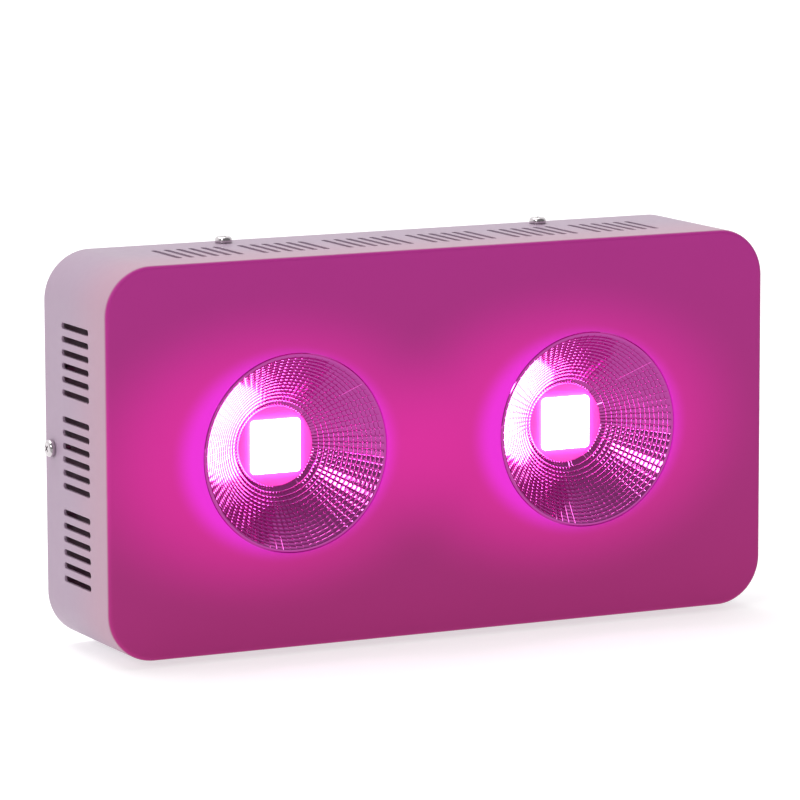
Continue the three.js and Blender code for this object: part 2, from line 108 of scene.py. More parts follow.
def extent(node):
    """The size of a CAD node's box."""
    low, high = box(node)
    return Vector([b - a for a, b in zip(low, high)])


# Working tools ---------------------------------------------------------------------------


def activate(piece):
    """Makes one object the only selected one."""
    bpy.ops.object.select_all(action="DESELECT")
    piece.select_set(True)
    bpy.context.view_layer.objects.active = piece


def settle(piece):
    """Moves an object's place, turn and scale into its mesh."""
    activate(piece)
    bpy.ops.object.transform_apply(location=True, rotation=True, scale=True)
    return piece


def made(name):
    """Names the primitive that was just added and settles it."""
    piece = bpy.context.active_object
    piece.name = name
    piece.data.name = name
    return settle(piece)


def new_block(name, centre, size):
    bpy.ops.object.select_all(action="DESELECT")
    bpy.ops.mesh.primitive_cube_add(size=1, location=centre, scale=size)
    return made(name)


def new_rod(name, centre, radius, length, axis="Y", sides=64, end_radius=None):
    """A cylinder or cone along an axis; end_radius is the radius at its far end."""
    turn = {"X": (0, math.pi / 2, 0), "Y": (-math.pi / 2, 0, 0), "Z": (0, 0, 0)}[axis]
    bpy.ops.object.select_all(action="DESELECT")
    bpy.ops.mesh.primitive_cone_add(
        vertices=sides, radius1=radius, radius2=radius if end_radius is None else end_radius,
        depth=length, location=centre, rotation=turn)
    return made(name)


def pick(piece, kind, test):
    """In edit mode, selects only the vertices, edges or faces that pass the test."""
    bpy.ops.mesh.select_mode(type=kind)
    bpy.ops.mesh.select_all(action="DESELECT")
    mesh = bmesh.from_edit_mesh(piece.data)
    items = {"VERT": mesh.verts, "EDGE": mesh.edges, "FACE": mesh.faces}[kind]
    for item in items:
        if test(item):
            item.select_set(True)
    mesh.select_flush_mode()
    bmesh.update_edit_mesh(piece.data)


def along(axis):
    """A test for edges that run along an axis."""
    return lambda edge: abs((edge.verts[0].co - edge.verts[1].co).normalized()[axis]) > 0.99


def at_level(value, tolerance=1e-6):
    """A test for edges that lie in one plane across Y."""
    return lambda edge: all(abs(v.co.y - value) < tolerance for v in edge.verts)


def open_mesh(piece):
    activate(piece)
    bpy.ops.object.mode_set(mode="EDIT")
    bpy.ops.mesh.select_mode(type="VERT")


def close_mesh():
    bpy.ops.object.mode_set(mode="OBJECT")


def round_edges(piece, test, radius, segments):
    """Bevels the edges that pass the test."""
    open_mesh(piece)
    pick(piece, "EDGE", test)
    bpy.ops.mesh.bevel(offset=radius, segments=segments, affect="EDGES", clamp_overlap=False)
    close_mesh()


def modify(piece, kind, **settings):
    """Adds a modifier, sets it and applies it."""
    activate(piece)
    bpy.ops.object.modifier_add(type=kind)
    step = piece.modifiers[-1]
    for name, value in settings.items():
        setattr(step, name, value)
    bpy.ops.object.modifier_apply(modifier=step.name)


def combine(piece, other, operation):
    """Cuts another object out of a piece, or adds it, and removes the other."""
    modify(piece, "BOOLEAN", object=other, operation=operation, solver="EXACT")
    bpy.data.objects.remove(other)
    return piece


def join(pieces, name):
    bpy.ops.object.select_all(action="DESELECT")
    for piece in pieces:
        piece.select_set(True)
    bpy.context.view_layer.objects.active = pieces[0]
    bpy.ops.object.join()
    pieces[0].name = name
    pieces[0].data.name = name
    return pieces[0]


def copy_of(piece, name):
    """A copy with its own mesh."""
    activate(piece)
    bpy.ops.object.duplicate()
    other = bpy.context.active_object
    other.name = name
    other.data.name = name
    return other


def soften(piece, angle=30, width=None, segments=2):
    """Breaks sharp edges with a small bevel and shades the rest smooth."""
    if width:
        modify(piece, "BEVEL", width=width, segments=segments, limit_method="ANGLE",
               angle_limit=math.radians(40), use_clamp_overlap=True)
    activate(piece)
    bpy.ops.object.shade_smooth_by_angle(angle=math.radians(angle))
    modify(piece, "WEIGHTED_NORMAL", keep_sharp=True, weight=80)


def clad(piece, finish):
    """Makes one material the piece's only one."""
    piece.data.materials.clear()
    piece.data.materials.append(finish)


def enlist(piece, node, body):
    """Parents a piece to its body's empty and hides the CAD node that it stands for."""
    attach(piece, body)
    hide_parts(node)


def give(piece, finish, node, body):
    """Finishes and enlists a piece."""
    clad(piece, finish)
    enlist(piece, node, body)


def coat(nodes, finish):
    """Gives CAD nodes that keep their shape a finished material."""
    for name in nodes:
        clad(frame["nodes"][name], finish)


# Finishes --------------------------------------------------------------------------------


class Finish:
    """A procedural material, its Principled shader and short ways to add nodes."""

    def __init__(self, name, colour, roughness, metallic=0.0, **sockets):
        self.material = bpy.data.materials.new(name)
        self.material.use_nodes = True
        self.tree = self.material.node_tree
        self.shader = self.tree.nodes["Principled BSDF"]
        self.set("Base Color", (*colour, 1.0))
        self.set("Roughness", roughness)
        self.set("Metallic", metallic)
        for socket, value in sockets.items():
            self.set(socket.replace("_", " "), value)
        self.place = self.add("ShaderNodeTexCoord").outputs["Object"]

    def set(self, socket, value):
        self.shader.inputs[socket].default_value = value

    def add(self, kind, **settings):
        node = self.tree.nodes.new(kind)
        for name, value in settings.items():
            setattr(node, name, value)
        return node

    def link(self, source, target):
        self.tree.links.new(source, target)

    def feed(self, node, **inputs):
        """Sets a node's inputs by name: a socket is linked and a value is set."""
        for name, value in inputs.items():
            socket = node.inputs[name.replace("_", " ")]
            if isinstance(value, bpy.types.NodeSocket):
                self.link(value, socket)
            else:
                socket.default_value = value
        return node

    def noise(self, scale, detail=3.0, stretch=(1, 1, 1)):
        mapping = self.feed(self.add("ShaderNodeMapping"), Vector=self.place, Scale=stretch)
        noise = self.feed(self.add("ShaderNodeTexNoise"), Vector=mapping.outputs[0],
                          Scale=scale, Detail=detail)
        return noise.outputs["Fac"]

    def ramp(self, source, low, high, start=0.0, stop=1.0, smooth=False):
        """Maps a value from start..stop to low..high, clamped."""
        kind = "SMOOTHSTEP" if smooth else "LINEAR"
        node = self.add("ShaderNodeMapRange", interpolation_type=kind)
        self.feed(node, Value=source, From_Min=start, From_Max=stop, To_Min=low, To_Max=high)
        return node.outputs["Result"]

    def math(self, operation, *values):
        node = self.add("ShaderNodeMath", operation=operation)
        for socket, value in zip(node.inputs, values):
            if isinstance(value, bpy.types.NodeSocket):
                self.link(value, socket)
            else:
                socket.default_value = value
        return node.outputs[0]

    def blend(self, factor, a, b):
        """A colour between a and b."""
        node = self.add("ShaderNodeMix", data_type="RGBA")
        for name, value in (("Factor_Float", factor), ("A_Color", a), ("B_Color", b)):
            socket = next(s for s in node.inputs if s.identifier == name)
            if isinstance(value, bpy.types.NodeSocket):
                self.link(value, socket)
            else:
                socket.default_value = value if name == "Factor_Float" else (*value, 1.0)
        return next(s for s in node.outputs if s.identifier == "Result_Color")

    def tint(self, strength, colour):
        """A colour scaled by a strength."""
        node = self.add("ShaderNodeVectorMath", operation="SCALE")
        node.inputs[0].default_value = colour
        self.link(strength, node.inputs["Scale"])
        return node.outputs[0]

    def total(self, a, b):
        """The sum of two colours."""
        node = self.add("ShaderNodeVectorMath", operation="ADD")
        self.link(a, node.inputs[0])
        self.link(b, node.inputs[1])
        return node.outputs[0]

    def bump(self, height, strength, distance):
        node = self.feed(self.add("ShaderNodeBump"), Height=height, Strength=strength,
                         Distance=distance)
        self.link(node.outputs[0], self.shader.inputs["Normal"])

    def vary(self, socket, source, low, high):
        self.link(self.ramp(source, low, high), self.shader.inputs[socket])


def plain_grain(name, colour, roughness, metallic=0.0, grain=900.0, depth=0.02, spread=0.06, **sockets):
    """A finish with a fine random grain in its gloss and relief."""
    finish = Finish(name, colour, roughness, metallic, **sockets)
    fine = finish.noise(grain, 4.0)
    finish.vary("Roughness", finish.noise(grain / 12, 3.0), roughness - spread, roughness + spread)
    finish.bump(fine, 0.35, depth * MM)
    return finish.material


def brushed(name, colour, roughness, stretch):
    """Metal with fine drawn lines across one axis."""
    finish = Finish(name, colour, roughness, 1.0)
    lines = finish.noise(60.0, 5.0, stretch)
    finish.vary("Roughness", lines, roughness - 0.1, roughness + 0.12)
    finish.bump(lines, 0.25, 0.03 * MM)
    return finish.material


def paint_finish(name, look):
    """White powder coat with painted light: a painted lilac tint on the sides, a painted magenta spill
    near the front edge, and on the front panel the painted magenta light, glow and halo of the lamps.
    """
    finish = Finish(name, look.paint_painted_lilac_colour, 0.42, 0.0, Specular_IOR_Level=0.4)
    parts = finish.feed(finish.add("ShaderNodeSeparateXYZ"), Vector=finish.place)
    x, y, z = parts.outputs
    on_front = finish.ramp(y, 1.0, 0.0, FRONT + 0.5 * MM, FRONT + 1.6 * MM, smooth=True)
    # The front panel's magenta is painted light of the lamps on the white coat; it shifts from the
    # lower to the upper edge.
    panel = finish.blend(finish.ramp(z, 0.0, 1.0, SHELL_LOW[2], SHELL_HIGH[2]),
                         look.panel_low_painted_light, look.panel_high_painted_light)
    # Painted magenta spill of the lamps' light on the sides, strongest at the front edge and gone 45 mm
    # back.
    front_spill_painted_mask = finish.ramp(y, 1.0, 0.0, FRONT, FRONT + 45 * MM, smooth=True)
    side = finish.blend(front_spill_painted_mask, look.paint_painted_lilac_colour, look.paint_painted_spill_colour)
    finish.link(finish.blend(on_front, side, panel), finish.shader.inputs["Base Color"])
    finish.link(finish.math("MULTIPLY_ADD", on_front, -0.3, 0.4),
                finish.shader.inputs["Specular IOR Level"])
    # The lamps' glow is wide along the panel, and its edge is strongest at the left. Glow and halo are
    # painted light, given as emission of the paint on the front panel.
    glow = around_mouths(finish, x, z, -12 * MM, 1.45, 40 * MM, look.glow_reach)
    halo = around_mouths(finish, x, z, -4 * MM, 1.15, 41 * MM, look.halo_reach)
    light = finish.total(
        finish.tint(finish.math("MULTIPLY", glow, look.glow_strength), look.glow_colour),
        finish.tint(finish.math("MULTIPLY", halo, look.halo_strength), look.halo_colour))
    finish.link(light, finish.shader.inputs["Emission Color"])
    finish.link(on_front, finish.shader.inputs["Emission Strength"])
    finish.vary("Roughness", finish.noise(350.0, 3.0), 0.36, 0.48)
    finish.bump(finish.noise(1400.0, 3.0), 0.25, 0.02 * MM)
    return finish.material


def around_mouths(finish, x, z, shift, rise, start, stop):
    """A value of 1 near the mouths that falls to 0, from start to stop, round shifted centres."""
    falls = []
    for side in SIDES:
        centre = middle(f"reflector_{side}")
        across = finish.math("SUBTRACT", x, centre.x + shift)
        up = finish.math("MULTIPLY", finish.math("SUBTRACT", z, centre.z), rise)
        squares = finish.math("ADD", finish.math("MULTIPLY", across, across),
                              finish.math("MULTIPLY", up, up))
        falls.append(finish.ramp(finish.math("SQRT", squares), 1.0, 0.0, start, stop, smooth=True))
    return finish.math("ADD", *falls)


def emitter_finish(name, look):
    """Lit resin over a square of LED chips."""
    finish = Finish(name, (1.0, 0.9, 0.98), 0.3)
    finish.set("Emission Color", (*look.light_colour, 1.0))
    finish.set("Emission Strength", look.light_strength)
    return finish.material


# Settings --------------------------------------------------------------------------------


def length(label, text, value):
    return bpy.props.FloatProperty(
        name=label, description=text, default=value * MM, min=0.0, unit="LENGTH", precision=5)


def colour(label, text, value):
    return bpy.props.FloatVectorProperty(
        name=label, description=text, default=value, subtype="COLOR", size=3, min=0.0, max=1.0)


def number(label, text, value):
    return bpy.props.FloatProperty(name=label, description=text, default=value)


def count(label, text, value):
    return bpy.props.IntProperty(name=label, description=text, default=value, min=1)


class GrowLightSizes(bpy.types.PropertyGroup):
    """Sizes that the CAD frame's boxes don't give."""

    sheet: length("Sheet", "Thickness of the steel sheet", 1.2)
    corner: length("Corner", "Outer corner radius of the housing", 20.0)
    fold: length("Fold", "Outer radius of the fold round the front panel", 1.8)
    vent_pitch: length("Vent pitch", "Distance between neighbouring slots", 5.47)
    vent_width: length("Vent width", "Width of one slot", 2.6)
    vent_length: length("Vent length", "Length of one slot", 28.0)
    vents_in_group: count("Vents in a group", "Slots in each group", 6)
    group_steps: count("Group spacing", "Slot pitches from one group to the next", 7)
    mouth: length("Mouth", "Radius of each light opening in the front panel", 41.0)
    base: length("Bowl base", "Radius of the hole in a reflector's base", 16.5)
    bowl_wall: length("Bowl wall", "Thickness of a reflector's wall", 1.0)
    rings: count("Rings", "Rings of facets in a reflector", 15)
    facets: count("Facets", "Facets round each ring", 82)
    fan_wall: length("Fan wall", "From a fan frame's side to its duct", 2.0)
    fan_hub: length("Fan hub", "Radius of a fan's motor plate", 15.0)
    blades: count("Blades", "Blades on a fan's rotor", 7)
    wire: length("Guard wire", "Radius of a fan guard's wire", 0.8)


class GrowLightLook(bpy.types.PropertyGroup):
    """Colours and light."""

    # The paint colours below hold painted light: a painted lilac tint on a darkened white coat, a
    # painted magenta spill near the front edge and the painted magenta of the lamps' light on the front
    # panel.
    paint_painted_lilac_colour: colour("Paint", "Powder coat on the sides", (0.375, 0.27, 0.365))
    paint_painted_spill_colour: colour("Paint near the light", "Sides by the front edge", (0.44, 0.26, 0.345))
    rear_colour: colour("Rear paint", "Powder coat on the rear cover", (0.60, 0.56, 0.60))
    panel_low_painted_light: colour("Panel, low", "Front panel along its lower edge", (0.45, 0.035, 0.21))
    panel_high_painted_light: colour("Panel, high", "Front panel along its upper edge", (0.47, 0.036, 0.275))
    glow_colour: colour("Glow", "Wide glow on the front panel", (1.0, 0.0, 0.42))
    glow_strength: number("Glow strength", "Strength of the wide glow", 0.30)
    glow_reach: length("Glow reach", "Distance from a reflector's centre where its glow ends", 98.0)
    halo_colour: colour("Halo", "Glow at the mouths' edges", (0.5, 0.01, 1.0))
    halo_strength: number("Halo strength", "Strength of the glow at the mouths' edges", 0.38)
    halo_reach: length("Halo reach", "Distance from a reflector's centre where its halo ends", 52.0)
    light_colour: colour("Light", "Colour of the lit chips", (1.0, 0.6, 0.95))
    light_strength: number("Light strength", "Strength of the lit chips", 15.0)


# Housing ---------------------------------------------------------------------------------


def tray(name, low, high, corner, fold):
    """A box with round corners and one folded rim, open at the back."""
    centre = [(a + b) / 2 for a, b in zip(low, high)]
    size = [b - a for a, b in zip(low, high)]
    piece = new_block(name, centre, size)
    round_edges(piece, along(1), corner, 20)
    if fold:
        round_edges(piece, at_level(low[1]), fold, 5)
    return piece


def slot_cutter(name, centre, axis, sizes, groups):
    """A comb of round-ended bars that run through the housing along X or Z."""
    wide, long = sizes.vent_width, sizes.vent_length
    reach = 2 * max(extent("housing_shell"))
    size = (wide, long, reach) if axis == 2 else (reach, long, wide)
    bar = new_block(name, centre, size)
    round_edges(bar, along(axis), wide / 2 * 0.999, 6)
    step = 0 if axis == 2 else 2
    for number_of, spacing in ((sizes.vents_in_group, sizes.vent_pitch),
                               (groups, sizes.vent_pitch * sizes.group_steps)):
        offset = [0.0, 0.0, 0.0]
        offset[step] = spacing
        modify(bar, "ARRAY", count=number_of, use_relative_offset=False,
               use_constant_offset=True, constant_offset_displace=offset)
        bar.location[step] -= spacing * (number_of - 1) / 2
        settle(bar)
    return bar


def screw_drills(radius):
    """Rods through every cover screw's place."""
    rods = []
    for name in COVER_SCREWS:
        node = f"cover_screw_{name}"
        axis = "X" if name in SIDES else "Z"
        rods.append(new_rod("drill", middle(node), radius, 30 * MM, axis, 24))
    return join(rods, "drills")


def housing(sizes, paint, inside):
    piece = tray("housing", SHELL_LOW, SHELL_HIGH, sizes.corner, sizes.fold)
    open_mesh(piece)
    pick(piece, "FACE", lambda face: face.normal.y > 0.9)
    bpy.ops.mesh.delete(type="FACE")
    close_mesh()
    modify(piece, "SOLIDIFY", thickness=sizes.sheet, offset=-1.0, use_even_offset=True,
           use_quality_normals=True)
    centre = middle("housing_shell")
    room = 2 * sizes.corner
    pitch = sizes.vent_pitch * sizes.group_steps
    for axis, along_wall in ((2, extent("housing_shell").x), (0, extent("housing_shell").z)):
        groups = int((along_wall - room) / pitch)
        combine(piece, slot_cutter("slots", centre, axis, sizes, groups), "DIFFERENCE")
    for side in SIDES:
        seat = middle(f"reflector_{side}")
        seat.y = FRONT
        combine(piece, new_rod("mouth", seat, sizes.mouth, 8 * MM, "Y", 160), "DIFFERENCE")
    combine(piece, screw_drills(SCREW_HOLE), "DIFFERENCE")
    soften(piece, 35, 0.12 * MM)
    give(piece, paint, "housing_shell", "housing")
    piece.data.materials.append(inside)
    # The faces inside the housing get the second material, a dark maroon: painted shade with painted
    # magenta light on the inner walls.
    wall = sizes.sheet * 0.55
    for face in piece.data.polygons:
        if is_inner(face.center, wall) and not on_corner(face.center, sizes.corner, wall):
            face.material_index = 1


def is_inner(point, wall):
    """True if a point is deeper than half a wall inside the housing's box."""
    past_front = point[1] > FRONT + wall
    return past_front and all(SHELL_LOW[i] + wall < point[i] < SHELL_HIGH[i] - wall for i in (0, 2))


def on_corner(point, corner, wall):
    """True if a point lies in the outer half of a rounded corner's wall."""
    dx, dz = (max(SHELL_LOW[i] + corner - point[i], point[i] - SHELL_HIGH[i] + corner)
              for i in (0, 2))
    return dx > 0 and dz > 0 and math.hypot(dx, dz) > corner - wall


def cover(sizes, paint):
    low, high = box("rear_cover")
    gap = low[0] - SHELL_LOW[0]
    piece = tray("back_panel", low, high, sizes.corner - gap, None)
    round_edges(piece, at_level(high[1]), 0.8 * MM, 3)
    open_mesh(piece)
    pick(piece, "FACE", lambda face: face.normal.y < -0.9)
    bpy.ops.mesh.delete(type="FACE")
    close_mesh()
    modify(piece, "SOLIDIFY", thickness=sizes.sheet, offset=-1.0, use_even_offset=True,
           use_quality_normals=True)
    cutters = []
    for side in SIDES:
        duct = middle(f"fan_frame_{side}")
        radius = extent(f"fan_frame_{side}").x / 2 - sizes.fan_wall
        cutters.append(new_rod("duct", (duct.x, high[1], duct.z), radius, 10 * MM, "Y", 160))
        for i in range(1, 5):
            seat = middle(f"fan_screw_{side}_{i}")
            cutters.append(new_rod("drill", (seat.x, high[1], seat.z), GUARD_HOLE, 8 * MM, "Y", 24))
    for name in EYES:
        seat = middle(f"hanging_eye_{name}")
        cutters.append(new_rod("drill", (seat.x, high[1], seat.z), EYE_HOLE, 8 * MM, "Y", 24))
    for node, body in (("power_inlet", INLET_BODY), ("switch_body", SWITCH_BODY)):
        seat = middle(node)
        opening = (body[0] + WINDOW_ROOM, 10 * MM, body[2] + WINDOW_ROOM)
        cutters.append(new_block("window", (seat.x, high[1], seat.z), opening))
    for cutter in cutters:
        combine(piece, cutter, "DIFFERENCE")
    combine(piece, screw_drills(SCREW_HOLE), "DIFFERENCE")
    soften(piece, 35, 0.12 * MM)
    give(piece, paint, "rear_cover", "housing")


# Screws ----------------------------------------------------------------------------------


def cross_recess(centre, size, depth):
    """A tapered cross that points along -Y."""
    arms = []
    for across, up in ((size, size * 0.24), (size * 0.24, size)):
        arm = new_block("arm", centre, (across, 2 * depth, up))
        open_mesh(arm)
        pick(arm, "FACE", lambda face: face.normal.y < -0.9)
        bpy.ops.transform.resize(value=(0.62, 1, 0.62), center_override=(*centre,))
        close_mesh()
        arms.append(arm)
    return combine(arms[0], arms[1], "UNION")


def pan_screw(name, radius, head_radius, head_height, reach):
    """A pan-head screw at the origin, its head towards +Y."""
    head = new_rod(name, (0, head_height / 2, 0), head_radius, head_height, "Y", 48)
    round_edges(head, lambda edge: all(v.co.y > head_height * 0.9 for v in edge.verts)
                and edge.calc_face_angle(0) > 1, head_height * 0.62, 6)
    shank = new_rod("shank", (0, -reach / 2 + 0.1 * MM, 0), radius, reach + 0.2 * MM, "Y", 32)
    round_edges(shank, lambda edge: all(v.co.y < -reach * 0.9 for v in edge.verts)
                and edge.calc_face_angle(0) > 1, radius * 0.5, 2)
    combine(head, shank, "UNION")
    combine(head, cross_recess(Vector((0, head_height, 0)), head_radius * 1.15, head_height * 0.55),
            "DIFFERENCE")
    soften(head, 32, 0.06 * MM)
    return head


def placed(piece, name, turn, spot, spin=0.0):
    """A copy of a piece turned so that its +Y points along a direction, at a spot."""
    other = copy_of(piece, name)
    other.matrix_world = (Matrix.Translation(spot) @ turn.to_matrix().to_4x4()
                          @ Matrix.Rotation(spin, 4, "Y"))
    return settle(other)


def cover_screws(metal):
    head_height, reach = 2.4 * MM, 8 * MM
    pattern = pan_screw("pan_screw", 1.7 * MM, 3.6 * MM, head_height, reach)
    quarter = math.pi / 2
    turns = {
        "top_left": (quarter, 0, 0), "top_right": (quarter, 0, 0),
        "bottom_left": (-quarter, 0, 0), "bottom_right": (-quarter, 0, 0),
        "left": (0, 0, quarter), "right": (0, 0, -quarter),
    }
    for index, name in enumerate(COVER_SCREWS):
        node = f"cover_screw_{name}"
        turn = Euler(turns[name])
        outwards = turn.to_matrix() @ Vector((0, 1, 0))
        seat = middle(node) + outwards * (reach - head_height) / 2
        piece = placed(pattern, f"screw_{name}", turn, seat, 0.35 + 0.5 * index)
        give(piece, metal, node, "housing")
    bpy.data.objects.remove(pattern)


def fan_screws(metal):
    head_height, reach = 2 * MM, 10 * MM
    pattern = pan_screw("fan_screw", 1.9 * MM, 3.4 * MM, head_height, reach)
    for side in SIDES:
        for i in range(1, 5):
            node = f"fan_screw_{side}_{i}"
            seat = middle(node) + Vector((0, (reach - head_height) / 2, 0))
            piece = placed(pattern, f"guard_screw_{side}_{i}", Euler((0, 0, 0)), seat, 0.4 * i)
            give(piece, metal, node, "housing")
    bpy.data.objects.remove(pattern)


# Light engines ---------------------------------------------------------------------------


def bowl_radius(share, base, mouth):
    """The inner radius at a share of the depth from the mouth to the base."""
    return base + (mouth - base) * (1 - share) ** 0.86


def reflector(side, sizes, metal):
    low, high = box(f"reflector_{side}")
    axis = middle(f"reflector_{side}")
    flange = extent(f"reflector_{side}").x / 2
    depth = high[1] - low[1]
    lip = sizes.mouth - GAP
    mouth = lip - sizes.bowl_wall
    seat = low[1] + sizes.sheet + GAP
    radii = [bowl_radius(1 - i / sizes.rings, sizes.base, mouth) for i in range(sizes.rings + 1)]
    levels = [high[1] - depth * i / sizes.rings for i in range(sizes.rings + 1)]
    bpy.ops.object.select_all(action="DESELECT")
    bpy.ops.mesh.primitive_circle_add(
        vertices=sizes.facets, radius=radii[0], location=(axis.x, levels[0], axis.z),
        rotation=(math.pi / 2, 0, 0))
    piece = made(f"bowl_{side}")
    open_mesh(piece)
    bpy.ops.mesh.select_all(action="SELECT")
    pull_rings(axis, list(zip(radii, levels)))
    # Every ring and spoke is a crease, and every facet swells a little towards the light.
    bpy.ops.mesh.select_all(action="SELECT")
    bpy.ops.mesh.normals_make_consistent(inside=True)
    bpy.ops.mesh.mark_sharp()
    for width, rise in FACET_STEPS:
        bpy.ops.mesh.inset(thickness=width, depth=rise, use_individual=True, use_even_offset=False)
    at_mouth = at_level(low[1], 0.01 * MM)
    pick(piece, "EDGE", lambda edge: edge.is_boundary and at_mouth(edge))
    outer = [(mouth, low[1]), (lip - 0.25 * MM, low[1]), (lip, low[1] + 0.25 * MM), (lip, seat),
             (flange, seat), (flange, seat + sizes.bowl_wall), (lip, seat + sizes.bowl_wall)]
    for share in (0.35, 0.6, 0.8, 1.0):
        outer.append((bowl_radius(share, sizes.base, mouth) + sizes.bowl_wall,
                      low[1] + share * depth))
    pull_rings(axis, outer)
    pick(piece, "EDGE", lambda edge: edge.is_boundary)
    bpy.ops.mesh.bridge_edge_loops()
    bpy.ops.mesh.select_all(action="SELECT")
    bpy.ops.mesh.normals_make_consistent(inside=False)
    close_mesh()
    activate(piece)
    bpy.ops.object.shade_smooth(keep_sharp_edges=True)
    open_mesh(piece)
    pick(piece, "EDGE", lambda edge: edge.calc_face_angle(0) > 0.6)
    bpy.ops.mesh.mark_sharp()
    close_mesh()
    give(piece, metal, f"reflector_{side}", "housing")


def pull_rings(axis, rings):
    """Extrudes the selected edge loop through rings of (radius, y), starting at the first."""
    for (radius, level), (next_radius, next_level) in zip(rings, rings[1:]):
        bpy.ops.mesh.extrude_region_move(
            TRANSFORM_OT_translate={"value": (0, next_level - level, 0)})
        ratio = next_radius / radius
        bpy.ops.transform.resize(value=(ratio, 1, ratio),
                                 center_override=(axis.x, next_level, axis.z))


def emitter(side, finish):
    node = f"led_emitter_{side}"
    front = box(node)[0][1]
    piece = new_block(f"lit_square_{side}", middle(node), extent(node))
    round_edges(piece, along(1), 1.6 * MM, 6)
    round_edges(piece, at_level(front), 0.35 * MM, 3)
    soften(piece, 40)
    give(piece, finish, node, "housing")


# Fans ------------------------------------------------------------------------------------


def fan_frame(side, sizes, plastic):
    node = f"fan_frame_{side}"
    back = box(node)[1][1]
    axis, size = middle(node), extent(node)
    duct = size.x / 2 - sizes.fan_wall
    piece = new_block(f"frame_{side}", axis, size)
    round_edges(piece, along(1), 4.2 * MM, 6)
    combine(piece, new_rod("duct", axis, duct, 0.1, "Y", 128), "DIFFERENCE")
    plate = 2 * MM
    spot = (axis.x, back - plate / 2, axis.z)
    hub = new_rod("hub", spot, sizes.fan_hub, plate, "Y", 64)
    round_edges(hub, at_level(back), 0.5 * MM, 3)
    for angle in (45, 135):
        strut = new_block("strut", spot, (2 * duct + MM, plate, 4 * MM))
        open_mesh(strut)
        bpy.ops.mesh.select_all(action="SELECT")
        bpy.ops.transform.rotate(value=math.radians(angle), orient_axis="Y",
                                 center_override=(axis.x, axis.y, axis.z))
        close_mesh()
        combine(hub, strut, "UNION")
    combine(piece, hub, "UNION")
    for i in range(1, 5):
        seat = middle(f"fan_screw_{side}_{i}")
        drill = new_rod("drill", (seat.x, axis.y, seat.z), GUARD_HOLE, 0.1, "Y", 24)
        combine(piece, drill, "DIFFERENCE")
    combine(piece, new_rod("bush", axis, 1.8 * MM, 0.1, "Y", 24), "DIFFERENCE")
    soften(piece, 35, 0.25 * MM)
    give(piece, plastic, node, "housing")


def fan_rotor(side, sizes, plastic):
    node = f"fan_rotor_{side}"
    low, high = box(node)
    axis = middle(f"fan_frame_{side}")
    back = box(f"fan_frame_{side}")[1][1] - 2.3 * MM
    hub_radius = sizes.fan_hub - MM
    deep = back - low[1]
    centre = Vector((axis.x, low[1] + deep / 2, axis.z))
    hub = new_rod(f"rotor_{side}", centre, hub_radius, deep, "Y", 64)
    round_edges(hub, at_level(low[1]), 1.4 * MM, 4)
    shaft = new_rod("shaft", (axis.x, (back + high[1]) / 2 - MM / 2, axis.z), 1.5 * MM,
                    high[1] - back + MM, "Y", 24)
    combine(hub, shaft, "UNION")
    tip = extent(f"fan_frame_{side}").x / 2 - sizes.fan_wall - 1.4 * MM
    root = hub_radius - 1.5 * MM
    blade = fan_blade(centre, root, tip, deep - 2.2 * MM)
    for i in range(sizes.blades):
        one = copy_of(blade, "blade_copy")
        open_mesh(one)
        bpy.ops.mesh.select_all(action="SELECT")
        bpy.ops.transform.rotate(value=2 * math.pi * i / sizes.blades, orient_axis="Y",
                                 center_override=(*centre,))
        close_mesh()
        combine(hub, one, "UNION")
    bpy.data.objects.remove(blade)
    soften(hub, 35, 0.2 * MM)
    give(hub, plastic, node, f"fan_{side}")


def fan_blade(centre, root, tip, deep):
    """A twisted, cambered blade that points along +X from the fan's axis."""
    rows, columns = 6, 5
    bpy.ops.object.select_all(action="DESELECT")
    bpy.ops.mesh.primitive_grid_add(
        x_subdivisions=columns, y_subdivisions=rows, size=1, location=(0, 0, 0))
    blade = made("blade")
    for vertex in blade.data.vertices:
        share, along_chord = vertex.co.x + 0.5, vertex.co.y
        radius = root + share * (tip - root)
        pitch = math.radians(38 + 14 * share)
        chord = deep / math.cos(pitch)
        y = along_chord * chord * math.cos(pitch)
        z = along_chord * chord * math.sin(pitch) + 2.2 * MM * (1 - 4 * along_chord ** 2)
        angle = z / radius * 0.9
        vertex.co = (centre.x + radius * math.cos(angle), centre.y + y,
                     centre.z + radius * math.sin(angle))
    modify(blade, "SOLIDIFY", thickness=1.2 * MM, offset=0.0, use_even_offset=True)
    return blade


